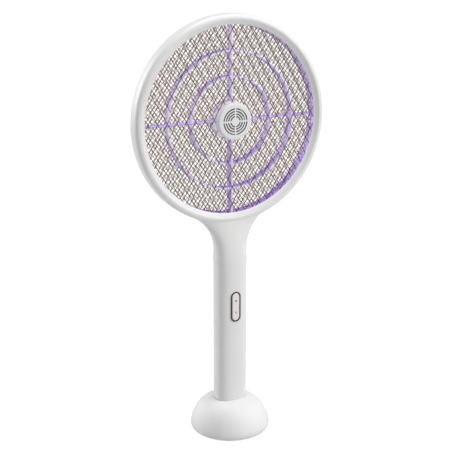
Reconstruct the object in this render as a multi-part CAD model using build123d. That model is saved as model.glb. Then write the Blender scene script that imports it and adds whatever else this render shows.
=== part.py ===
from build123d import *
import math
import os

# Electric fly swatter standing in its charging dock.
# Origin: centre of the dock's underside, +Z up, front of the swatter towards -Y. Millimetres.

os.makedirs("parts", exist_ok=True)

# ---------------------------------------------------------------- driving dimensions
# head: round ring that holds three nets
HEAD_Z = 351.0
RING_R = 110.0
RING_IN_R = 99.2
RING_IN_T = 6.2
RING_HALF_T = 9.5
RIDGE_R = 104.2
WALL = 2.0
NET_GROOVE_R = 103.2

# nets, ribs
NET_R = 102.2
NET_T = 0.5
NET_Y = 5.4
NET_RIM_R = 100.6
WIRE_W = 0.55
OUTER_CELL = (10.6, 18.4)
MIDDLE_CELL = (9.52, 9.52)
FRONT_SHIFT = (5.4, 2.45)
MIDDLE_SHIFT = (-0.15, 0.15)
REAR_SHIFT = (4.7, -1.8)
RIB_T = 1.5
RIB_RADII = (46.0, 72.6)
RIM_WALL_OUT_R = 102.3
RIM_WALL_IN_R = 99.6
HUB_RING_R = 18.5
HUB_RING_T = 2.0
NET_HOLE_R = 15.8
SEAT_GAP = 0.05
NET_FACE = NET_Y + NET_T / 2 + SEAT_GAP
RIB_FRONT = NET_Y - NET_T / 2 - SEAT_GAP

# hub
HUB_R = 19.6
HUB_FRONT = 12.5
HUB_WALL = 1.6
SLOT_RADII = (5.4, 7.95, 10.6, 13.35)
SLOT_W = 1.25
SLOT_BRIDGE = 1.8
POST_R = 3.6

# handle and neck
HANDLE_X = 17.9
HANDLE_Y = 14.0
SECTION_POWER = 2.6
NECK_FILLET = 48.0
NECK_TOP_Y = 8.8
HANDLE_END_Z = 14.1
SHELL_END_Z = 17.0
NECK_START_Z = 196.0

# rocker button
BUTTON_Z = 147.4
BEZEL_W = 11.8
BEZEL_H = 34.5
BEZEL_T = 1.35
BEZEL_FRONT = HANDLE_Y + 0.4
BEZEL_BACK = HANDLE_Y - 4.9
ROCKER_GAP = 0.3
ROCKER_FRONT = HANDLE_Y + 0.7
ROCKER_BACK = HANDLE_Y - 3.9
PIVOT_Y = HANDLE_Y - 2.7
PIVOT_R = 1.0

# inside the handle
CELL_R = 9.15
CELL_LEN = 65.0
CELL_Z = 30.0
BOARD_Y = 1.6
BOARD_T = 1.6
BOARD_HALF_X = 11.5
BOARD_Z0 = 110.0
BOARD_Z1 = 202.0
HANDLE_SCREW_Z = (103.5, 208.5)
RING_SCREW_R = 105.9
RING_SCREW_ANGLES = (0, 60, 120, 180, 240, 300)
SCREW_R = 0.9
BOSS_R = 2.5

# dock
DOCK_PROFILE = (
    (42.6, 1.6), (44.2, 5.0), (44.0, 8.8), (42.8, 13.3), (40.9, 18.3),
    (38.3, 23.3), (34.5, 28.3), (28.9, 32.9), (21.5, 35.9), (12.0, 37.1), (0.0, 37.3),
)
DOCK_WALL = 2.2
FOOT_H = 1.5
FOOT_R = 39.3
PLATE_TOP = 4.0
PLATE_R = 40.2
SOCKET_GAP = 0.3
SOCKET_FLOOR = 14.0
SOCKET_FLOOR_T = 2.0
SOCKET_WALL = 1.8
DOCK_BOSS_R = 27.0
DOCK_BOSS_ANGLES = (30, 150, 270)
DOCK_BOARD_Z = 5.0
DOCK_BOARD_T = 1.2
PIN_X = 6.0
PIN_R = 1.2
PIN_FLANGE_R = 1.9
PIN_TIP_Z = 15.95
PIN_FIT = 0.05
CONTACT_Z = 16.0
INLET_W = 9.0
INLET_H = 3.2
INLET_FACE_Y = 43.2

FACE = Plane(origin=(0, 0, HEAD_Z), x_dir=(1, 0, 0), z_dir=(0, -1, 0))
BACK = Plane(origin=(0, 0, HEAD_Z), x_dir=(-1, 0, 0), z_dir=(0, 1, 0))


def save(name, shape):
    """Write one named piece, or a group of identical pieces, as one STEP file."""
    if isinstance(shape, (list, tuple)):
        shape = Compound(children=list(shape))
    export_step(shape, f"parts/{name}.step")


# ---------------------------------------------------------------- helpers
def outline(half_x, half_y, count=28):
    """Rounded-oval section of the handle as one closed spline."""
    points = []
    for i in range(count):
        angle = 2 * math.pi * i / count
        c = math.cos(angle)
        s = math.sin(angle)
        x = half_x * math.copysign(abs(c) ** (2 / SECTION_POWER), c)
        y = half_y * math.copysign(abs(s) ** (2 / SECTION_POWER), s)
        points.append((x, y))
    return make_face(Spline(*points, periodic=True))


def oval_bar(half_x, half_y, z0, z1):
    return Pos(0, 0, z0) * extrude(outline(half_x, half_y), z1 - z0)


def turned(points):
    """Solid of revolution about Z from (radius, height) corners."""
    return revolve(Plane.XZ * make_face(Polyline(*points, close=True)), Axis.Z)


def disc(radius, z0, z1, x=0, y=0):
    return Pos(x, y, (z0 + z1) / 2) * Cylinder(radius, z1 - z0)


def tube(outer, inner, z0, z1, x=0, y=0):
    return disc(outer, z0, z1, x, y) - disc(inner, z0 - 1, z1 + 1, x, y)


def block(x0, x1, y0, y1, z0, z1):
    centre = Pos((x0 + x1) / 2, (y0 + y1) / 2, (z0 + z1) / 2)
    return centre * Box(x1 - x0, y1 - y0, z1 - z0)


def y_disc(radius, y0, y1, x, z):
    """Cylinder along Y between two planes."""
    return Pos(x, (y0 + y1) / 2, z) * Rot(90, 0, 0) * Cylinder(radius, y1 - y0)


def pill(width, height, y0, y1):
    """Upright pill between two planes across Y, centred on the button."""
    flat = SlotOverall(height, width, rotation=90)
    return Plane(origin=(0, y1, BUTTON_Z), x_dir=(1, 0, 0), z_dir=(0, -1, 0)) * extrude(flat, y1 - y0)


def ring_point(radius, angle):
    a = math.radians(angle)
    return radius * math.cos(a), HEAD_Z + radius * math.sin(a)


# ---------------------------------------------------------------- swatter shells
def neck_width(z):
    """Half width of the neck: an arc tangent to the handle side and to the ring."""
    centre_x = HANDLE_X + NECK_FILLET
    drop = math.sqrt((RING_R + NECK_FILLET) ** 2 - centre_x ** 2)
    centre_z = HEAD_Z - drop
    if z <= centre_z:
        return HANDLE_X
    return centre_x - math.sqrt(NECK_FILLET ** 2 - (z - centre_z) ** 2)


def neck_depth(z):
    """Half thickness of the neck, easing from the handle's down to just under the ring's."""
    t = (z - NECK_START_Z) / (neck_top_z() - NECK_START_Z)
    t = min(max(t, 0.0), 1.0)
    ease = t * t * (3 - 2 * t)
    return HANDLE_Y + (NECK_TOP_Y - HANDLE_Y) * ease


def neck_top_z():
    centre_x = HANDLE_X + NECK_FILLET
    drop = math.sqrt((RING_R + NECK_FILLET) ** 2 - centre_x ** 2)
    return HEAD_Z - drop * RING_R / (RING_R + NECK_FILLET)


def neck(inset, stop_r):
    top = neck_top_z()
    heights = (NECK_START_Z, 206.0, 214.0, 222.0, 229.0, 235.0, 240.0, 244.0, 247.0, top)
    sections = []
    for z in heights:
        sections.append(Pos(0, 0, z) * outline(neck_width(z) - inset, neck_depth(z) - inset))
    return loft(sections) - FACE * Cylinder(stop_r, 60)


def ring_outer():
    ridge = (RIDGE_R, RING_HALF_T)
    low = (RIDGE_R, -RING_HALF_T)
    nose = Spline(
        ridge, (107.4, 9.1), (109.3, 7.3), (RING_R, 4.2), (RING_R, -4.2), (109.3, -7.3),
        (107.4, -9.1), low,
    )
    inner = Polyline(low, (RING_IN_R, -RING_IN_T), (RING_IN_R, RING_IN_T), ridge)
    profile = make_face(Curve() + [nose, inner])
    return FACE * revolve(Plane.XZ * profile, Axis.Z)


def ring_cavity():
    half = [(97.0, NET_FACE), (NET_GROOVE_R, NET_FACE), (103.8, 7.5), (105.2, 7.5), (107.0, 6.0), (108.0, 3.0)]
    other = [(r, -h) for r, h in reversed(half)]
    return FACE * turned(half + other)


def ring_bosses():
    bosses = []
    for angle in RING_SCREW_ANGLES:
        x, z = ring_point(RING_SCREW_R, angle)
        bosses.append(y_disc(BOSS_R, -8.4, 8.4, x, z))
    return bosses


def make_shells():
    outer = ring_outer() + neck(0, RIDGE_R)
    outer += oval_bar(HANDLE_X, HANDLE_Y, SHELL_END_Z, NECK_START_Z)
    cavity = ring_cavity() + neck(WALL, NET_GROOVE_R)
    cavity += oval_bar(HANDLE_X - WALL, HANDLE_Y - WALL, SHELL_END_Z - 1, NECK_START_Z)
    case = outer - cavity
    case += ring_bosses()
    for z in HANDLE_SCREW_Z:
        case += y_disc(BOSS_R, -HANDLE_Y + 1.4, HANDLE_Y - 1.4, 0, z)
    front = case & block(-130, 130, -30, 0, 0, 480)
    rear = case & block(-130, 130, 0, 30, 0, 480)
    front -= pill(BEZEL_W, BEZEL_H, -30, -7)
    for x, z, depth in screw_places():
        front -= y_disc(SCREW_R, -5.0, 1, x, z)
        rear -= y_disc(SCREW_R, -1, depth - 1.4, x, z)
        rear -= y_disc(2.0, depth - 1.4, 30, x, z)
    return front, rear


def screw_places():
    """Rear-face screws: x, z, and the depth of the outer face there."""
    places = [(0, z, HANDLE_Y) for z in HANDLE_SCREW_Z]
    for angle in RING_SCREW_ANGLES:
        x, z = ring_point(RING_SCREW_R, angle)
        places.append((x, z, RING_HALF_T))
    return places


def case_screws():
    screws = []
    for x, z, depth in screw_places():
        head_y = depth - 1.4
        screw = y_disc(SCREW_R, -5.0, head_y, x, z) + y_disc(1.9, head_y, head_y + 1.2, x, z)
        screw -= Pos(x, head_y + 1.0, z) * Box(0.6, 0.8, 2.4)
        screw -= Pos(x, head_y + 1.0, z) * Box(2.4, 0.8, 0.6)
        screws.append(screw)
    return screws


# ---------------------------------------------------------------- nets and ribs
def diamonds(hole_r, cell_size, shift):
    """Diamond openings of one net, clipped to the band between its rims."""
    half_w = cell_size[0] / 2
    half_h = cell_size[1] / 2
    side = half_w * half_h / math.hypot(half_w, half_h)
    shrink = 1 - WIRE_W / 2 / side
    band = Circle(NET_RIM_R) - Circle(hole_r + 1.8)
    cells = []
    rows = int(NET_R / half_h) + 2
    columns = int(NET_R / half_w / 2) + 2
    for j in range(-rows, rows + 1):
        for i in range(-columns, columns + 1):
            cx = (2 * i + j % 2) * half_w + shift[0]
            cy = j * half_h + shift[1]
            reach = math.hypot(cx, cy)
            if reach - half_h > NET_RIM_R or reach + half_h < hole_r + 1.8:
                continue
            corners = [
                (cx + half_w * shrink, cy), (cx, cy + half_h * shrink),
                (cx - half_w * shrink, cy), (cx, cy - half_h * shrink),
            ]
            cell = make_face(Polyline(*corners, close=True))
            spans = [math.hypot(x, y) for x, y in corners]
            if max(spans) > NET_RIM_R or min(spans) < hole_r + 1.8:
                clipped = cell & band
                if clipped is None:
                    continue
                for piece in clipped.faces():
                    if piece.area > 1.5:
                        cells.append(piece)
            else:
                cells.append(cell)
    return cells


def make_net(y, hole_r, cell_size, shift):
    plate = Circle(NET_R) - Circle(hole_r)
    plate -= diamonds(hole_r, cell_size, shift)
    sheet = extrude(plate, NET_T)
    return FACE * Pos(0, 0, -y - NET_T / 2) * sheet


def wire_runs():
    """Lamp wires run up both sides of the lower arm, between the front and middle nets."""
    return [(-1.4, -3.0), (1.4, -3.0)]


def make_ribs(h0, h1, plane):
    """Cross and concentric walls between two nets."""
    ribs = tube(RIM_WALL_OUT_R, RIM_WALL_IN_R, h0, h1) + tube(HUB_RING_R + HUB_RING_T, HUB_RING_R, h0, h1)
    for radius in RIB_RADII:
        ribs += tube(radius + RIB_T / 2, radius - RIB_T / 2, h0, h1)
    reach = RIM_WALL_IN_R + 0.6
    arms = block(-reach, reach, -RIB_T / 2, RIB_T / 2, h0, h1)
    arms += block(-RIB_T / 2, RIB_T / 2, -reach, reach, h0, h1)
    ribs += arms - disc(HUB_RING_R + 1, h0 - 1, h1 + 1)
    return plane * ribs


def make_front_ribs():
    ribs = make_ribs(NET_T / 2 + SEAT_GAP, RIB_FRONT, FACE)
    for x, y in wire_runs():
        ribs -= disc(0.55, 240, HEAD_Z - 15, x, y)
    return ribs


# ---------------------------------------------------------------- hub and lamp
def hub_slots():
    bars = Rectangle(SLOT_BRIDGE, 60) + Rectangle(60, SLOT_BRIDGE)
    slots = []
    for radius in SLOT_RADII:
        band = Circle(radius + SLOT_W / 2) - Circle(radius - SLOT_W / 2)
        slots.append(extrude(band - bars, 6))
    return slots


def make_hub_cap(plane, post_start):
    cap = turned([
        (0, HUB_FRONT), (17.6, HUB_FRONT), (18.7, 12.2), (19.3, 11.5), (HUB_R, 10.6), (HUB_R, NET_FACE),
        (HUB_R - HUB_WALL, NET_FACE), (HUB_R - HUB_WALL, 10.4), (17.4, 10.9), (0, 10.9),
    ])
    for slot in hub_slots():
        cap -= Pos(0, 0, 9) * slot
    cap += disc(POST_R, post_start, 11.2)
    return plane * cap


def make_lamp_leds():
    leds = []
    for i in range(8):
        turn = Rot(0, 0, 22.5 + 45 * i)
        for low in (-2.7, 0.8):
            leds.append(FACE * turn * block(11.4, 14.9, -1.4, 1.4, low, low + 1.9))
    return leds


def make_lamp():
    board = FACE * tube(15.6, SCREW_R + 0.3, -0.8, 0.8)
    lens = FACE * tube(18.3, 16.3, -RIB_FRONT, RIB_FRONT)
    for x, y in wire_runs():
        lens -= disc(0.55, HEAD_Z - 30, HEAD_Z, x, y)
    return board, lens


def make_hub_screw():
    screw = y_disc(1.2, -5.0, 11.2, 0, HEAD_Z) + y_disc(2.4, 11.2, 12.4, 0, HEAD_Z)
    screw -= Pos(0, 12.2, HEAD_Z) * Box(0.7, 0.8, 3.2)
    screw -= Pos(0, 12.2, HEAD_Z) * Box(3.2, 0.8, 0.7)
    return screw


# ---------------------------------------------------------------- handle contents
def make_bezel():
    inner_w = BEZEL_W - 2 * BEZEL_T
    inner_h = BEZEL_H - 2 * BEZEL_T
    ring = pill(BEZEL_W, BEZEL_H, -BEZEL_FRONT, -BEZEL_BACK)
    ring -= pill(inner_w, inner_h, -BEZEL_FRONT - 1, -7)
    pivot = Pos(0, -PIVOT_Y, BUTTON_Z) * Rot(0, 90, 0) * Cylinder(PIVOT_R, 30)
    return ring - pivot


def make_rocker():
    width = BEZEL_W - 2 * BEZEL_T - 2 * ROCKER_GAP
    height = BEZEL_H - 2 * BEZEL_T - 2 * ROCKER_GAP
    body = pill(width, height, -ROCKER_FRONT, -ROCKER_BACK)
    edges = body.edges().filter_by_position(Axis.Y, -ROCKER_FRONT - 0.01, -ROCKER_FRONT + 0.01)
    body = fillet(edges, 0.7)
    for side in (-1, 1):
        body += y_disc(1.5, -ROCKER_BACK, -7.6, 0, BUTTON_Z + side * 9.0)
    bore = Pos(0, -PIVOT_Y, BUTTON_Z) * Rot(0, 90, 0) * Cylinder(PIVOT_R + 0.05, 40)
    return body - bore


def make_tact_switches():
    switches = []
    face_y = -BOARD_Y - BOARD_T
    for side in (-1, 1):
        z = BUTTON_Z + side * 9.0
        body = block(-3, 3, face_y - 3.2, face_y, z - 3, z + 3)
        switches.append(body + y_disc(1.7, face_y - 3.8, face_y - 3.2, 0, z))
    return switches


def make_main_board():
    board = block(-BOARD_HALF_X, BOARD_HALF_X, -BOARD_Y - BOARD_T, -BOARD_Y, BOARD_Z0, BOARD_Z1)
    edge = board.edges().filter_by(Axis.Y)
    return fillet(edge, 1.5)


def make_transformer():
    core = block(-7, 7, -BOARD_Y, 6.4, 168, 182)
    legs = block(-8.4, 8.4, -BOARD_Y, 0.4, 170, 180)
    return core + legs


def make_capacitors():
    cans = []
    for z in (188.0, 196.0):
        cans.append(Pos(0, 2.2, z) * Rot(0, 90, 0) * Cylinder(3.6, 15))
    return cans


def make_diodes():
    return [disc(1.3, 124.5, 129.5, x, -BOARD_Y + 1.35) for x in (-7.5, -2.5, 2.5, 7.5)]


def make_battery():
    cell = disc(CELL_R, CELL_Z, CELL_Z + CELL_LEN - 1)
    return cell + disc(3.0, CELL_Z + CELL_LEN - 1, CELL_Z + CELL_LEN)


def make_cradle():
    top = CELL_Z + CELL_LEN
    half = tube(10.6, CELL_R + 0.15, 27.4, top + 2.4) & block(-12, 12, 0, 12, 0, 120)
    ends = disc(10.6, 27.4, 28.8) + disc(10.6, top + 1.0, top + 2.4)
    holes = block(-8, -5, -2, 1, 20, 110) + block(5, 8, -2, 1, 20, 110)
    return half + ends - holes


def make_strips():
    top = CELL_Z + CELL_LEN
    return [disc(5.0, 28.8, CELL_Z), disc(5.0, top, top + 1.0)]


def make_end_cap():
    cap = oval_bar(HANDLE_X - 0.05, HANDLE_Y - 0.05, HANDLE_END_Z, SHELL_END_Z)
    cap += oval_bar(HANDLE_X - WALL - 0.05, HANDLE_Y - WALL - 0.05, SHELL_END_Z, 22.0)
    for x in (-PIN_X, PIN_X):
        cap -= disc(3.2, HANDLE_END_Z - 1, CONTACT_Z + 0.5, x)
        cap -= disc(1.0, HANDLE_END_Z, 30, x)
    return cap


def make_charge_contacts():
    pads = []
    for x in (-PIN_X, PIN_X):
        pads.append(disc(3.2, CONTACT_Z, CONTACT_Z + 0.5, x) + disc(1.0, CONTACT_Z, 25.0, x))
    return pads


def lead(points, radius, bend):
    """Insulated wire: straight runs joined by tangent arcs."""
    path = FilletPolyline(*points, radius=bend)
    start = path @ 0
    section = Plane(origin=start, z_dir=path % 0) * Circle(radius)
    return sweep(section, path=path)


def make_net_leads():
    """From the board's top edge to the rims of the front, middle and rear nets."""
    leads = []
    start_y = -BOARD_Y - BOARD_T / 2
    for x, y in ((-7.0, -4.9), (3.8, 0.0), (7.0, 4.9)):
        rim_z = HEAD_Z - math.sqrt((NET_R + 0.1) ** 2 - x ** 2)
        points = [(x, start_y, BOARD_Z1), (x, start_y, 206), (x, y, 220), (x, y, rim_z)]
        leads.append(lead(points, 0.6, 3.0))
    return leads


def make_lamp_leads():
    leads = []
    start_y = -BOARD_Y - BOARD_T / 2
    for x, y in wire_runs():
        side = math.copysign(5.4, x)
        points = [
            (side, start_y, BOARD_Z1), (side, start_y, 216), (x, y, 228),
            (x, y, HEAD_Z - 16), (x, -1.4, HEAD_Z - 12),
        ]
        leads.append(lead(points, 0.5, 3.0))
    return leads


def make_battery_leads():
    return [disc(0.6, 97.6, BOARD_Z0, x, -2.4) for x in (-6.5, 6.5)]


# ---------------------------------------------------------------- dock
def dome_solid(inset, top_drop):
    """Dome of revolution; an inset copy of it makes the inside."""
    side = [(r - inset, h) for r, h in DOCK_PROFILE[:-3]]
    top = [(r, h - top_drop) for r, h in DOCK_PROFILE[-3:]]
    if inset:
        side = [(r, h - 0.55 * top_drop * h / 33.0) for r, h in side]
    curve = Spline(*(side + top))
    first = side[0]
    last = top[-1]
    rest = Polyline(last, (0, first[1]), first)
    return revolve(Plane.XZ * make_face(Curve() + [curve, rest]), Axis.Z)


def boss_places():
    return [
        (DOCK_BOSS_R * math.cos(math.radians(a)), DOCK_BOSS_R * math.sin(math.radians(a)))
        for a in DOCK_BOSS_ANGLES
    ]


def make_dock_shell():
    outer = dome_solid(0, 0)
    inner = dome_solid(DOCK_WALL, DOCK_WALL)
    inner += disc(DOCK_PROFILE[0][0] - DOCK_WALL, 0, 2.0)
    shell = outer - inner
    floor_z = SOCKET_FLOOR - SOCKET_FLOOR_T
    inside_x = HANDLE_X + SOCKET_GAP
    inside_y = HANDLE_Y + SOCKET_GAP
    sleeve = oval_bar(inside_x + SOCKET_WALL, inside_y + SOCKET_WALL, floor_z, 36)
    for x, y in boss_places():
        sleeve += disc(3.0, PLATE_TOP, 34, x, y)
    shell += sleeve & outer
    shell -= oval_bar(inside_x, inside_y, SOCKET_FLOOR, 45)
    for x, y in boss_places():
        shell -= disc(1.2, PLATE_TOP - 1, 14, x, y)
    for x in (-PIN_X, PIN_X):
        shell -= disc(PIN_R + PIN_FIT, floor_z - 1, SOCKET_FLOOR + 1, x)
    shell -= inlet_shape(INLET_W + 0.4, INLET_H + 0.4, 30, 60)
    return shell


def inlet_shape(width, height, y0, y1):
    mid_z = DOCK_BOARD_Z + DOCK_BOARD_T + INLET_H / 2
    flat = SlotOverall(width, height)
    return Plane(origin=(0, y1, mid_z), x_dir=(1, 0, 0), z_dir=(0, -1, 0)) * extrude(flat, y1 - y0)


def make_inlet():
    shell = inlet_shape(INLET_W, INLET_H, INLET_FACE_Y - 7.3, INLET_FACE_Y)
    shell -= inlet_shape(INLET_W - 0.7, INLET_H - 0.7, INLET_FACE_Y - 6.6, INLET_FACE_Y + 1)
    mid_z = DOCK_BOARD_Z + DOCK_BOARD_T + INLET_H / 2
    tongue = block(-3.3, 3.3, INLET_FACE_Y - 7.0, INLET_FACE_Y - 1.2, mid_z - 0.35, mid_z + 0.35)
    return shell + tongue


def make_base_plate():
    plate = disc(PLATE_R, FOOT_H, PLATE_TOP)
    plate += block(-6, 6, -6, 30, PLATE_TOP, DOCK_BOARD_Z)
    for x, y in boss_places():
        plate -= disc(1.2, 0, 6, x, y)
        plate -= disc(2.5, 0, 2.8, x, y)
    return plate


def make_dock_screws():
    screws = []
    for x, y in boss_places():
        screw = disc(1.2, 2.8, 12, x, y) + disc(2.4, 1.6, 2.8, x, y)
        screw -= Pos(x, y, 1.8) * Box(0.7, 3.2, 0.8)
        screw -= Pos(x, y, 1.8) * Box(3.2, 0.7, 0.8)
        screws.append(screw)
    return screws


def make_ballast():
    ring = tube(39.3, 30.6, PLATE_TOP, 12.0)
    return ring - block(-9.5, 9.5, 20, 50, 0, 20)


def make_pin_block():
    top = SOCKET_FLOOR - SOCKET_FLOOR_T
    body = block(-10, 10, -4, 4, DOCK_BOARD_Z + DOCK_BOARD_T, top)
    for x in (-PIN_X, PIN_X):
        body -= disc(PIN_FLANGE_R + 0.2, DOCK_BOARD_Z + DOCK_BOARD_T + 0.8, 20, x)
    return body


def make_pin(x):
    flange_top = SOCKET_FLOOR - SOCKET_FLOOR_T - 0.05
    stem = disc(PIN_R, flange_top - 1, PIN_TIP_Z - PIN_R, x)
    tip = Pos(x, 0, PIN_TIP_Z - PIN_R) * Sphere(PIN_R)
    return stem + tip + disc(PIN_FLANGE_R, flange_top - 1.0, flange_top, x)


def make_pin_spring(x):
    z0 = DOCK_BOARD_Z + DOCK_BOARD_T + 0.8 + 0.16
    z1 = SOCKET_FLOOR - SOCKET_FLOOR_T - 0.05 - 1.0 - 0.16
    path = Pos(x, 0, z0) * Helix(pitch=(z1 - z0) / 4, height=z1 - z0, radius=1.4)
    section = Plane(origin=path @ 0, z_dir=path % 0) * Circle(0.15)
    return sweep(section, path=path)


# ---------------------------------------------------------------- write every piece
def write_swatter():
    front, rear = make_shells()
    save("front_shell", front)
    save("rear_shell", rear)
    save("case_screws", case_screws())
    save("front_net", make_net(-NET_Y, NET_HOLE_R, OUTER_CELL, FRONT_SHIFT))
    save("middle_net", make_net(0, HUB_RING_R, MIDDLE_CELL, MIDDLE_SHIFT))
    save("rear_net", make_net(NET_Y, NET_HOLE_R, OUTER_CELL, REAR_SHIFT))
    save("front_rib_frame", make_front_ribs())
    save("rear_rib_frame", make_ribs(NET_T / 2 + SEAT_GAP, RIB_FRONT, BACK))
    bore = y_disc(1.2, -5.0, 30, 0, HEAD_Z)
    save("hub_front_cap", make_hub_cap(FACE, 0.8) - bore)
    head_pocket = y_disc(2.4, 11.2, 30, 0, HEAD_Z)
    save("hub_rear_cap", make_hub_cap(BACK, 0.8) - bore - head_pocket)
    board, lens = make_lamp()
    save("lamp_board", board)
    save("lamp_lens_ring", lens)
    save("lamp_leds", make_lamp_leds())
    save("hub_screw", make_hub_screw())
    save("net_leads", make_net_leads())
    save("lamp_leads", make_lamp_leads())


def write_handle():
    save("button_bezel", make_bezel())
    save("rocker_button", make_rocker())
    save("rocker_pin", Pos(0, -PIVOT_Y, BUTTON_Z) * Rot(0, 90, 0) * Cylinder(PIVOT_R, BEZEL_W))
    save("tact_switches", make_tact_switches())
    save("main_board", make_main_board())
    save("high_voltage_transformer", make_transformer())
    save("storage_capacitors", make_capacitors())
    save("rectifier_diodes", make_diodes())
    save("battery_cell", make_battery())
    save("battery_cradle", make_cradle())
    save("battery_contact_strips", make_strips())
    save("battery_leads", make_battery_leads())
    save("handle_end_cap", make_end_cap())
    save("charge_contacts", make_charge_contacts())


def write_dock():
    save("dock_shell", make_dock_shell())
    save("dock_base_plate", make_base_plate())
    save("dock_foot_ring", tube(FOOT_R, 33.0, 0, FOOT_H))
    save("dock_ballast", make_ballast())
    save("dock_screws", make_dock_screws())
    save("dock_pin_block", make_pin_block())
    board = block(-8, 8, -6, INLET_FACE_Y - 4, DOCK_BOARD_Z, DOCK_BOARD_Z + DOCK_BOARD_T)
    save("dock_contact_board", board)
    save("charging_inlet", make_inlet())
    for side, x in (("left", -PIN_X), ("right", PIN_X)):
        save(f"charge_pin_{side}", make_pin(x))
        save(f"charge_pin_spring_{side}", make_pin_spring(x))


write_swatter()
write_handle()
write_dock()
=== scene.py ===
import math

import bpy
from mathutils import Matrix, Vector


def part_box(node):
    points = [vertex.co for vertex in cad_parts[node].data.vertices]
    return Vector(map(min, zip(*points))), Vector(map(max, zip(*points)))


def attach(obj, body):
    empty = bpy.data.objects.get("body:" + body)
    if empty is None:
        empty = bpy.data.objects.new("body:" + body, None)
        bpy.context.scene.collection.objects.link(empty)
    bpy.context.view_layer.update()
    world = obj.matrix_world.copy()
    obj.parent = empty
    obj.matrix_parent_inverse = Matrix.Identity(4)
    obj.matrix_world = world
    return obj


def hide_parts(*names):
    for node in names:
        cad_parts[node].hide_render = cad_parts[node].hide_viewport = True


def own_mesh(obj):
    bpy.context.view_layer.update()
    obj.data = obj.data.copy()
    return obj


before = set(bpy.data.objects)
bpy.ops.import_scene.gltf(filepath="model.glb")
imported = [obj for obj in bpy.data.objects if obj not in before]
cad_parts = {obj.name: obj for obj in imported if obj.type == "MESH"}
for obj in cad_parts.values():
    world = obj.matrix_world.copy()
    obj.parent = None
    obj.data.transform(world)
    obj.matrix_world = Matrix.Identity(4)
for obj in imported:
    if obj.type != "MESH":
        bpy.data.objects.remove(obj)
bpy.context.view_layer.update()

# Electric fly swatter in its charging dock: finishes for every part, the charged net's close mesh,
# the marks on the button, the springs under the charging pins, and the studio.
# Metres throughout; the front of the swatter faces -Y.

MM = 0.001
HEAD = Vector((0.0, 0.0, 0.351))

# charged net: square mesh turned 45 degrees, between an outer and an inner rim
FINE_COUNT = 64
FINE_CELL = 3.366 * MM
FINE_WIRE = 0.74 * MM
FINE_SHIFT = 0.15 * MM
FINE_OUT_R = 103.1 * MM
FINE_IN_R = 17.6 * MM
RIM_BANDS = ((102.1 * MM, 2.4 * MM), (20.6 * MM, 2.0 * MM))
RIM_SHEET = 0.4 * MM
RIM_CORNERS = 144

# marks on the button: how far from its middle, and how they sit in its face
LAMP_UP = 6.8 * MM
BOLT_DOWN = 6.6 * MM
INK_PROUD = 0.02 * MM
INK_SINK = 0.06 * MM

# springs under the charging pins: the weld distance for their copied mesh, and the angle in
# degrees up to which they shade smooth
SPRING_WELD = 0.001 * MM
SPRING_SMOOTH = 40.0

# hub caps and ring: where painted shade and painted violet glow lie, by distance from the head's
# axis or from its middle plane
RING_RIM_R = 101.2 * MM
RING_RIM_FADE = 2.2 * MM
HUB_INNER_FACE = 11.35 * MM
HUB_BORE_R = 17.95 * MM
HUB_SLOTS_R = 16.5 * MM
HUB_SKIRT_TOP = 12.2 * MM
HUB_SKIRT_FADE = 4.0 * MM
RIB_START_R = 19.5 * MM
RIB_START_FADE = 4.0 * MM

# violet light: it begins this far above the head's middle and to its -X side, and grows
# downward and toward +X
VIOLET_TOP = 60.0 * MM
VIOLET_FALL = 180.0 * MM
VIOLET_SIDE = 60.0 * MM
VIOLET_SPREAD = 160.0 * MM
RING_VIOLET_SPREAD = 140.0 * MM
ARM_HALF = 1.4 * MM
RING_CLEAR = 6.0 * MM
RING_CLEAR_FADE = 4.0 * MM

# noise scales of the finishes
CLOUD_SCALE = 28.0
HUB_CLOUD_SCALE = 40.0
SPARK_GRAIN_SCALE = 2600.0
STEEL_PATCH_SCALE = 90.0
STEEL_RUB_SCALE = 900.0
RIB_MOTTLE_SCALE = 760.0
BOARD_GLOSS_SCALE = 300.0
FLOOR_CLOUD_SCALE = 2.0
GRAIN_STRETCH = (30.0, 30.0, 900.0)

# relief of the finishes, and the turns per metre, in radians, of a circuit board's tracks
SPARK_GRAIN_DEPTH = 0.05 * MM
MATT_GRAIN_DEPTH = 0.08 * MM
TRACK_HEIGHT = 0.04 * MM
TRACK_LANES = 2400.0
TRACK_STEPS = 520.0

# studio
SURROUND = 0.15
BACKDROP = 1.16
FLOOR_SIZE = 80.0
FLOOR_DROP = 0.5 * MM
FLOOR_GLOW_SHARE = 0.88

BLACK = (0.0, 0.0, 0.0, 1.0)
WHITE = (1.0, 1.0, 1.0, 1.0)


# ---------------------------------------------------------------- shader arithmetic
class Wire:
    """A shader socket that Python's arithmetic works on."""

    def __init__(self, finish, socket):
        self.finish = finish
        self.socket = socket

    def math(self, operation, *others):
        return self.finish.calculate(operation, self, *others)

    def __add__(self, other):
        return self.math("ADD", other)

    def __radd__(self, other):
        return self.finish.calculate("ADD", other, self)

    def __sub__(self, other):
        return self.math("SUBTRACT", other)

    def __rsub__(self, other):
        return self.finish.calculate("SUBTRACT", other, self)

    def __mul__(self, other):
        return self.math("MULTIPLY", other)

    def __rmul__(self, other):
        return self.finish.calculate("MULTIPLY", other, self)

    def __truediv__(self, other):
        return self.math("DIVIDE", other)

    def below(self, limit):
        return self.math("LESS_THAN", limit)

    def above(self, limit):
        return self.math("GREATER_THAN", limit)

    def clamp(self):
        return self.finish.node("ShaderNodeClamp", {}, Value=self)

    def absolute(self):
        return self.math("ABSOLUTE")

    def sine(self):
        return self.math("SINE")

    def root(self):
        return self.math("SQRT")


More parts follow.
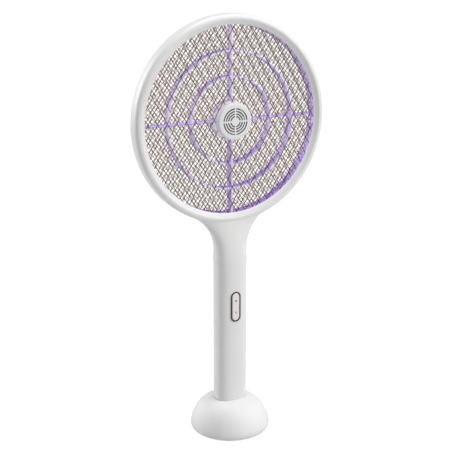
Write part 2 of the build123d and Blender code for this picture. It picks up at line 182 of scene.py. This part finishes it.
class Finish:
    """One material while it is being made."""

    def __init__(self, name):
        self.material = bpy.data.materials.new(name)
        self.material.use_nodes = True
        self.tree = self.material.node_tree
        self.shader = self.tree.nodes["Principled BSDF"]

    def node(self, kind, settings, output=0, **inputs):
        """Adds a node: its settings first, then each input by name or number."""
        made = self.tree.nodes.new(kind)
        for key, value in settings.items():
            setattr(made, key, value)
        for key, value in inputs.items():
            socket = made.inputs[int(key) if key.isdigit() else key.replace("_", " ")]
            self.feed(socket, value)
        return Wire(self, made.outputs[output])

    def feed(self, socket, value):
        if isinstance(value, Wire):
            self.tree.links.new(value.socket, socket)
        else:
            socket.default_value = value

    def calculate(self, operation, *values):
        inputs = {str(i): value for i, value in enumerate(values)}
        return self.node("ShaderNodeMath", {"operation": operation}, **inputs)

    def place(self):
        return self.node("ShaderNodeTexCoord", {}, output=3)

    def facing(self):
        """Way that the surface faces."""
        return self.node("ShaderNodeNewGeometry", {}, output=1)

    def part(self, vector, axis):
        return self.node("ShaderNodeSeparateXYZ", {}, output=axis, Vector=vector)

    def noise(self, scale, detail=2.0, vector=None):
        spot = vector or self.place()
        return self.node("ShaderNodeTexNoise", {}, Vector=spot, Scale=scale, Detail=detail)

    def mix(self, factor, first, second):
        """Blend of two colours."""
        inputs = {"0": factor, "6": first, "7": second}
        return self.node("ShaderNodeMix", {"data_type": "RGBA"}, output=2, **inputs)

    def bump(self, height, strength, distance):
        relief = {"Strength": strength, "Distance": distance, "Height": height}
        self.set("Normal", self.node("ShaderNodeBump", {}, **relief))

    def set(self, name, value):
        self.feed(self.shader.inputs[name], value)

    def dress(self, *nodes):
        for name in nodes:
            put_on(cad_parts[name], self.material)


def put_on(piece, material):
    piece.data.materials.clear()
    piece.data.materials.append(material)


def rgb(red, green, blue):
    return (red, green, blue, 1.0)


# ---------------------------------------------------------------- finishes
def from_head_axis(f):
    """A point's distance from the axis through the round head, and its place across and up."""
    spot = f.place()
    across = f.part(spot, 0)
    up = f.part(spot, 2) - HEAD.z
    return (across * across + up * up).root(), across, up


def moulded_white(name, light, shade, rough, grain, coat=0.12):
    """Injection-moulded white plastic: faint cloudiness, fine spark-eroded grain."""
    f = Finish(name)
    cloud = f.noise(CLOUD_SCALE, 3.0)
    f.set("Base Color", f.mix(cloud, rgb(*light), rgb(*shade)))
    fine = f.noise(SPARK_GRAIN_SCALE)
    f.set("Roughness", rough + fine * 0.07)
    f.set("Coat Weight", coat)
    f.set("Coat Roughness", 0.35)
    f.set("Specular IOR Level", 0.35)
    f.bump(fine, grain, SPARK_GRAIN_DEPTH)
    return f


def ring_case_white(name):
    """Case plastic with painted violet lamp light on its inner rim, most at the lower right."""
    f = moulded_white(name, (0.83, 0.83, 0.82), (0.78, 0.785, 0.78), 0.36, 0.10)
    reach, across, up = from_head_axis(f)
    # painted light: violet lamp glow on the inner rim, stronger toward +X and downward
    rim = ((RING_RIM_R - reach) / RING_RIM_FADE).clamp()
    side = ((across - up) / RING_VIOLET_SPREAD + 0.15).clamp()
    f.set("Emission Color", f.mix(rim * side, BLACK, rgb(0.42, 0.22, 1.0)))
    f.set("Emission Strength", 0.45)
    return f


def hub_white(name):
    """Hub caps: white outside, painted shade near black in the slots and inside, a breath of
    painted violet glow on the skirt.
    """
    f = Finish(name)
    reach, _, _ = from_head_axis(f)
    depth = f.part(f.place(), 1).absolute()
    # painted shade: near-black colour on the inner face, the bore and the slot walls, where the
    # hollows lie in shade
    painted_hollow_shade = depth.below(HUB_INNER_FACE) * reach.below(HUB_BORE_R)
    painted_slot_wall_shade = f.part(f.facing(), 1).absolute().below(0.5) * reach.below(HUB_SLOTS_R)
    inside = (painted_hollow_shade + painted_slot_wall_shade).clamp()
    skin = f.mix(f.noise(HUB_CLOUD_SCALE, 3.0), rgb(0.84, 0.84, 0.84), rgb(0.80, 0.80, 0.80))
    f.set("Base Color", f.mix(inside, skin, rgb(0.012, 0.012, 0.014)))
    f.set("Roughness", 0.36 + f.noise(SPARK_GRAIN_SCALE) * 0.08)
    # painted light: faint violet lamp glow on the skirt, kept off the painted shade
    skirt = ((HUB_SKIRT_TOP - depth) / HUB_SKIRT_FADE).clamp() * (1.0 - inside)
    f.set("Emission Color", f.mix(skirt, BLACK, rgb(0.55, 0.40, 1.0)))
    f.set("Emission Strength", 0.10)
    return f


def net_steel(name, dark, light):
    """Punched and plated steel, browned in patches by its arcs."""
    f = Finish(name)
    patch = f.noise(STEEL_PATCH_SCALE, 3.0)
    f.set("Base Color", f.mix(patch, rgb(*dark), rgb(*light)))
    f.set("Metallic", 0.35)
    f.set("Specular IOR Level", 0.3)
    f.set("Roughness", 0.48 + f.noise(STEEL_RUB_SCALE) * 0.2)
    return f


def lit_rib(name, power):
    """White translucent ribs with painted violet light, mottling in their colour and glow,
    stronger low down and to the right.
    """
    f = Finish(name)
    reach, across, up = from_head_axis(f)
    off_level = up.absolute()
    level_face = f.part(f.facing(), 2).absolute()
    # painted light: the violet grows downward and toward +X
    from_top = (VIOLET_TOP - up) / VIOLET_FALL
    from_side = (across + VIOLET_SIDE) / VIOLET_SPREAD
    glow = (from_top * 0.6 + from_side * 0.4).clamp()
    # painted light: the violet strength is mottled by high-contrast noise
    painted_light_mottle = ((f.noise(RIB_MOTTLE_SCALE) - 0.5) * 6.0 + 0.36).clamp()
    # painted light and highlight: level faces away from the middle plane get a little more violet,
    # the horizontal arm's front edges much more, while its flat top and bottom stay pale
    painted_ring_face_light = ((off_level - RING_CLEAR) / RING_CLEAR_FADE).clamp() * level_face
    painted_arm_edge_light = (1.0 - off_level / ARM_HALF).clamp() * (1.0 - level_face)
    strength = painted_light_mottle * (glow * 0.75 + 0.35) + painted_ring_face_light * 0.30
    strength = strength + painted_arm_edge_light * (painted_light_mottle * 0.9 + 0.35)
    strength = (strength * ((reach - RIB_START_R) / RIB_START_FADE).clamp()).clamp()
    f.set("Base Color", f.mix(strength, rgb(0.87, 0.81, 0.90), rgb(0.29, 0.16, 0.58)))
    f.set("Emission Color", f.mix(strength, rgb(0.50, 0.44, 0.62), rgb(0.20, 0.05, 0.85)))
    f.set("Emission Strength", power)
    f.set("Roughness", 0.45)
    return f


def metal(name, dark, light, rough):
    """Drawn or turned metal with fine grain along one way."""
    f = Finish(name)
    stretched = f.node("ShaderNodeMapping", {}, Vector=f.place(), Scale=GRAIN_STRETCH)
    grain = f.noise(3.0, 3.0, stretched)
    f.set("Base Color", f.mix(grain, rgb(*dark), rgb(*light)))
    f.set("Metallic", 1.0)
    f.set("Roughness", rough + grain * 0.16)
    return f


def plain_moulding(name, dark, light, rough, scale=600.0, strength=0.25):
    """Small moulded part with a fine matt grain."""
    f = Finish(name)
    grain = f.noise(scale)
    f.set("Base Color", f.mix(grain, rgb(*dark), rgb(*light)))
    f.set("Roughness", rough + grain * 0.12)
    f.bump(grain, strength, MATT_GRAIN_DEPTH)
    return f


def circuit_board(name, mask_colour, track_colour):
    """Solder mask over copper tracks."""
    f = Finish(name)
    spot = f.place()
    lanes = (f.part(spot, 0) * TRACK_LANES).sine()
    steps = (f.part(spot, 2) * TRACK_STEPS).sine()
    track = (lanes + steps * 0.6).above(0.55)
    f.set("Base Color", f.mix(track, rgb(*mask_colour), rgb(*track_colour)))
    f.set("Roughness", 0.35 + f.noise(BOARD_GLOSS_SCALE) * 0.15)
    f.bump(track, 0.3, TRACK_HEIGHT)
    return f


def dress_case():
    ring_case_white("white_case_plastic").dress("front_shell", "rear_shell")
    dock_light = (0.84, 0.84, 0.84)
    dock_shade = (0.795, 0.795, 0.795)
    dock = moulded_white("white_dock_plastic", dock_light, dock_shade, 0.52, 0.06, 0.0)
    dock.dress("dock_shell")
    hub_white("white_hub_plastic").dress("hub_front_cap", "hub_rear_cap")
    button_light = (0.86, 0.82, 0.81)
    button_shade = (0.82, 0.785, 0.775)
    rocker = moulded_white("white_button_plastic", button_light, button_shade, 0.40, 0.06)
    rocker.dress("rocker_button", "handle_end_cap")
    bezel = metal("rose_brown_metal", (0.075, 0.042, 0.034), (0.17, 0.10, 0.08), 0.28)
    bezel.dress("button_bezel")
    rubber_light = (0.035, 0.035, 0.034)
    rubber = plain_moulding("foot_rubber", (0.018, 0.018, 0.018), rubber_light, 0.72, 900.0, 0.5)
    rubber.dress("dock_foot_ring")


def dress_head():
    front = net_steel("front_guard_steel", (0.030, 0.018, 0.012), (0.070, 0.046, 0.034))
    front.dress("front_net")
    rear = net_steel("rear_guard_steel", (0.048, 0.031, 0.023), (0.11, 0.076, 0.060))
    rear.dress("rear_net", "middle_net")
    lit_rib("violet_lit_rib", 0.34).dress("front_rib_frame", "rear_rib_frame")
    lit_rib("violet_lamp_lens", 0.34).dress("lamp_lens_ring")
    emitters = plain_moulding("lamp_emitters", (0.12, 0.08, 0.22), (0.20, 0.14, 0.34), 0.3)
    emitters.dress("lamp_leds")


def dress_metal_parts():
    """Screws, contacts and ballast. Gives back the zinc plate, which the new springs wear too."""
    zinc = metal("zinc_plated_steel", (0.42, 0.42, 0.44), (0.62, 0.62, 0.62), 0.28)
    zinc.dress("case_screws", "hub_screw", "rocker_pin", "dock_screws", "charging_inlet")
    zinc.dress("charge_pin_spring_left", "charge_pin_spring_right")
    nickel = metal("nickel_strip", (0.55, 0.53, 0.50), (0.72, 0.70, 0.66), 0.22)
    nickel.dress("battery_contact_strips")
    brass = metal("contact_brass", (0.62, 0.45, 0.18), (0.80, 0.62, 0.30), 0.20)
    brass.dress("charge_contacts", "charge_pin_left", "charge_pin_right")
    raw = metal("raw_steel_ballast", (0.12, 0.12, 0.12), (0.24, 0.23, 0.22), 0.45)
    raw.dress("dock_ballast")
    return zinc.material


def dress_inside_parts():
    green = circuit_board("green_circuit_board", (0.012, 0.09, 0.035), (0.03, 0.17, 0.07))
    green.dress("main_board", "dock_contact_board")
    dark_board = circuit_board("black_circuit_board", (0.010, 0.010, 0.012), (0.03, 0.03, 0.035))
    dark_board.dress("lamp_board")
    black = plain_moulding("black_moulding", (0.018, 0.018, 0.02), (0.04, 0.04, 0.042), 0.48)
    black.dress("battery_cradle", "tact_switches", "rectifier_diodes")
    black.dress("dock_pin_block", "dock_base_plate")
    tape = plain_moulding("yellow_winding_tape", (0.55, 0.40, 0.06), (0.70, 0.55, 0.12), 0.42)
    tape.dress("high_voltage_transformer")
    dipped = plain_moulding("dipped_film_coating", (0.24, 0.05, 0.03), (0.36, 0.09, 0.05), 0.22)
    dipped.dress("storage_capacitors")
    sleeve = plain_moulding("blue_cell_sleeve", (0.03, 0.13, 0.30), (0.05, 0.19, 0.40), 0.30)
    sleeve.dress("battery_cell")
    red = plain_moulding("red_silicone_lead", (0.35, 0.02, 0.02), (0.50, 0.04, 0.03), 0.5)
    red.dress("net_leads", "battery_leads")
    white = plain_moulding("white_silicone_lead", (0.62, 0.58, 0.74), (0.72, 0.68, 0.82), 0.5)
    white.dress("lamp_leads")


# ---------------------------------------------------------------- modelled pieces
def start():
    """Leaves object mode clean, with nothing selected, before a new piece."""
    if bpy.context.object and bpy.context.object.mode != "OBJECT":
        bpy.ops.object.mode_set(mode="OBJECT")
    bpy.ops.object.select_all(action="DESELECT")


def pick_faces(piece, wanted):
    """Selects only the faces that a test on their corners' places wants."""
    bpy.ops.object.mode_set(mode="EDIT")
    bpy.ops.mesh.select_mode(type="FACE")
    bpy.ops.mesh.select_all(action="DESELECT")
    bpy.ops.object.mode_set(mode="OBJECT")
    places = [v.co for v in piece.data.vertices]
    for face in piece.data.polygons:
        face.select = bool(wanted([places[c] for c in face.vertices]))
    bpy.ops.object.mode_set(mode="EDIT")


def edit_all(piece):
    """Opens the piece in edit mode with all of it selected."""
    bpy.context.view_layer.objects.active = piece
    bpy.ops.object.mode_set(mode="EDIT")
    bpy.ops.mesh.select_all(action="SELECT")


def settle(piece):
    """Puts the piece's place into its mesh, so that its object sits at the origin."""
    bpy.ops.object.mode_set(mode="OBJECT")
    bpy.ops.object.transform_apply(location=True, rotation=True, scale=True)
    return piece


def modify(piece, kind, **settings):
    modifier = piece.modifiers.new(kind.lower(), kind)
    for key, value in settings.items():
        setattr(modifier, key, value)
    bpy.ops.object.modifier_apply(modifier=modifier.name)


def join(pieces, into):
    for piece in pieces:
        piece.select_set(True)
    bpy.context.view_layer.objects.active = into
    bpy.ops.object.join()


def finished(piece, name, material, body):
    piece.name = name
    put_on(piece, material)
    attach(piece, body)


def off_axis(place):
    return math.hypot(place.x - HEAD.x, place.z - HEAD.z)


def outside_mesh(corners):
    reaches = [off_axis(corner) for corner in corners]
    return max(reaches) > FINE_OUT_R or min(reaches) < FINE_IN_R


def net_rim(radius, width):
    """Flat ring of sheet steel that a net's wires end in."""
    bpy.ops.object.select_all(action="DESELECT")
    bpy.ops.mesh.primitive_circle_add(
        vertices=RIM_CORNERS, radius=radius, fill_type="NGON",
        location=HEAD, rotation=(math.pi / 2, 0.0, 0.0),
    )
    rim = settle(bpy.context.object)
    edit_all(rim)
    bpy.ops.mesh.inset(thickness=width)
    bpy.ops.mesh.delete(type="FACE")
    bpy.ops.object.mode_set(mode="OBJECT")
    modify(rim, "SOLIDIFY", thickness=RIM_SHEET, offset=0.0)
    return rim


def fine_charged_net(material):
    """Close square mesh of the charged net between the two guards, held in flat rims."""
    start()
    bpy.ops.mesh.primitive_grid_add(
        x_subdivisions=FINE_COUNT, y_subdivisions=FINE_COUNT, size=FINE_COUNT * FINE_CELL,
        location=(-FINE_SHIFT, 0.0, HEAD.z + FINE_SHIFT),
        rotation=(math.pi / 2, math.pi / 4, 0.0),
    )
    net = settle(bpy.context.object)
    pick_faces(net, outside_mesh)
    bpy.ops.mesh.delete(type="FACE")
    bpy.ops.object.mode_set(mode="OBJECT")
    wire = {"use_even_offset": True, "use_boundary": True, "use_replace": True}
    modify(net, "WIREFRAME", thickness=FINE_WIRE, **wire)
    rims = [net_rim(radius, width) for radius, width in RIM_BANDS]
    join((*rims, net), net)
    finished(net, "charged_net_mesh", material, "swatter")
    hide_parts("middle_net")


def ink_blob(corners, radius, wide, tall, x, face_y, z):
    """One small closed patch of ink that stands a hair proud of the button."""
    start()
    bpy.ops.mesh.primitive_circle_add(
        vertices=corners, radius=radius * MM, fill_type="NGON",
        location=(x, face_y - INK_PROUD, z), rotation=(math.pi / 2, 0.0, 0.0),
    )
    blob = bpy.context.object
    blob.scale = (wide, tall, 1.0)
    settle(blob)
    edit_all(blob)
    sink = {"value": (0.0, INK_SINK, 0.0)}
    bpy.ops.mesh.extrude_region_move(TRANSFORM_OT_translate=sink)
    bpy.ops.mesh.select_all(action="SELECT")
    bpy.ops.mesh.normals_make_consistent(inside=False)
    bpy.ops.object.mode_set(mode="OBJECT")
    return blob


def button_marks(material):
    """Two small printed marks on the rocker: a lamp above, a bolt below."""
    low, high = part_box("rocker_button")
    middle_z = (low[2] + high[2]) / 2
    lamp = middle_z + LAMP_UP
    bolt = middle_z - BOLT_DOWN
    bulb = (20, 0.95, 1.0, 1.0, 0.0, lamp + 0.25 * MM)
    base = (4, 0.62, 1.0, 0.8, 0.0, lamp - 1.05 * MM)
    upper = (3, 1.15, 0.62, 1.25, -0.25 * MM, bolt + 0.75 * MM)
    lower = (3, 1.15, 0.62, -1.25, 0.25 * MM, bolt - 0.75 * MM)
    for name, shapes in (("lamp_mark", (bulb, base)), ("bolt_mark", (upper, lower))):
        blobs = []
        for corners, radius, wide, tall, x, z in shapes:
            blobs.append(ink_blob(corners, radius, wide, tall, x, low[1], z))
        join(blobs, blobs[0])
        finished(blobs[0], name, material, "rocker")


def shortening_springs(material):
    """Copies of the frame's pin springs, welded and shaded smooth, shown in place of the frame's.
    """
    for side in ("left", "right"):
        node = f"charge_pin_spring_{side}"
        start()
        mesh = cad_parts[node].data.copy()
        spring = bpy.data.objects.new(f"pin_spring_{side}", mesh)
        bpy.context.scene.collection.objects.link(spring)
        spring.select_set(True)
        edit_all(spring)
        bpy.ops.mesh.remove_doubles(threshold=SPRING_WELD)
        bpy.ops.object.mode_set(mode="OBJECT")
        bpy.ops.object.shade_smooth_by_angle(angle=math.radians(SPRING_SMOOTH))
        finished(spring, spring.name, material, "dock")
        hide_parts(node)
        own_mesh(spring)


def model_pieces(spring_steel):
    shortening_springs(spring_steel)
    fine = net_steel("charged_net_steel", (0.40, 0.225, 0.145), (0.56, 0.350, 0.240))
    fine_charged_net(fine.material)
    ink = plain_moulding("grey_mark_ink", (0.05, 0.05, 0.055), (0.09, 0.085, 0.09), 0.5)
    button_marks(ink.material)


# ---------------------------------------------------------------- studio
def studio_floor():
    """Plain pale floor that meets the white backdrop unseen, and keeps a faint shadow."""
    bpy.ops.object.select_all(action="DESELECT")
    bpy.ops.mesh.primitive_plane_add(size=FLOOR_SIZE, location=(0, 0, -FLOOR_DROP))
    floor = bpy.context.object
    floor.name = "studio_floor"
    f = Finish("pale_studio_floor")
    cloud = f.noise(FLOOR_CLOUD_SCALE)
    f.set("Base Color", f.mix(cloud, rgb(0.60, 0.60, 0.60), rgb(0.66, 0.66, 0.66)))
    f.set("Roughness", 0.9)
    f.set("Specular IOR Level", 0.0)
    glow = f.node("ShaderNodeEmission", {}, Color=WHITE, Strength=BACKDROP)
    seen = f.node("ShaderNodeLightPath", {})
    matt = Wire(f, f.shader.outputs[0])
    layers = {"0": seen * FLOOR_GLOW_SHARE, "1": matt, "2": glow}
    both = f.node("ShaderNodeMixShader", {}, **layers)
    f.feed(f.tree.nodes["Material Output"].inputs["Surface"], both)
    put_on(floor, f.material)


def soft_light(name, place, aim, size, power):
    data = bpy.data.lights.new(name, "AREA")
    data.shape = "DISK"
    data.size = size
    data.energy = power
    lamp = bpy.data.objects.new(name, data)
    bpy.context.scene.collection.objects.link(lamp)
    lamp.location = place
    lamp.rotation_euler = (Vector(aim) - Vector(place)).to_track_quat("-Z", "Y").to_euler()


def studio_lights():
    """White surround that lights the object less than it shows, and four soft lamps."""
    world = bpy.data.worlds.new("studio_white")
    bpy.context.scene.world = world
    world.use_nodes = True
    tree = world.node_tree
    surround = tree.nodes["Background"]
    surround.inputs["Color"].default_value = WHITE
    surround.inputs["Strength"].default_value = SURROUND
    backdrop = tree.nodes.new("ShaderNodeBackground")
    backdrop.inputs["Color"].default_value = WHITE
    backdrop.inputs["Strength"].default_value = BACKDROP
    seen = tree.nodes.new("ShaderNodeLightPath")
    both = tree.nodes.new("ShaderNodeMixShader")
    tree.links.new(seen.outputs["Is Camera Ray"], both.inputs[0])
    tree.links.new(surround.outputs[0], both.inputs[1])
    tree.links.new(backdrop.outputs[0], both.inputs[2])
    tree.links.new(both.outputs[0], tree.nodes["World Output"].inputs["Surface"])
    soft_light("key_right", (2.3, -2.2, 1.7), (0, 0, 0.22), 2.6, 76.0)
    soft_light("rim_left", (-2.0, 2.6, 1.1), (0, 0, 0.2), 2.0, 60.0)
    soft_light("side_left", (-2.9, -0.3, 1.0), (0, 0, 0.3), 1.6, 7.0)
    soft_light("top_fill", (0.2, -0.3, 4.2), (0, 0, 0.2), 2.6, 122.0)


def studio_camera():
    """The front seen from its -X side and a little from above."""
    azimuth = math.radians(27.3)
    reach = 1.0618
    height = 0.5345
    aim_height = 0.2354
    aim_left = 0.0042
    data = bpy.data.cameras.new("studio_camera")
    data.sensor_width = 36.0
    data.lens = 81.42
    camera = bpy.data.objects.new("studio_camera", data)
    bpy.context.scene.collection.objects.link(camera)
    camera.location = (-reach * math.sin(azimuth), -reach * math.cos(azimuth), height)
    aim = Vector((-aim_left * math.cos(azimuth), aim_left * math.sin(azimuth), aim_height))
    camera.rotation_euler = (aim - camera.location).to_track_quat("-Z", "Y").to_euler()
    bpy.context.scene.camera = camera


bpy.context.scene.view_settings.view_transform = "Standard"
dress_case()
dress_head()
zinc_plate = dress_metal_parts()
dress_inside_parts()
model_pieces(zinc_plate)
studio_floor()
studio_lights()
studio_camera()
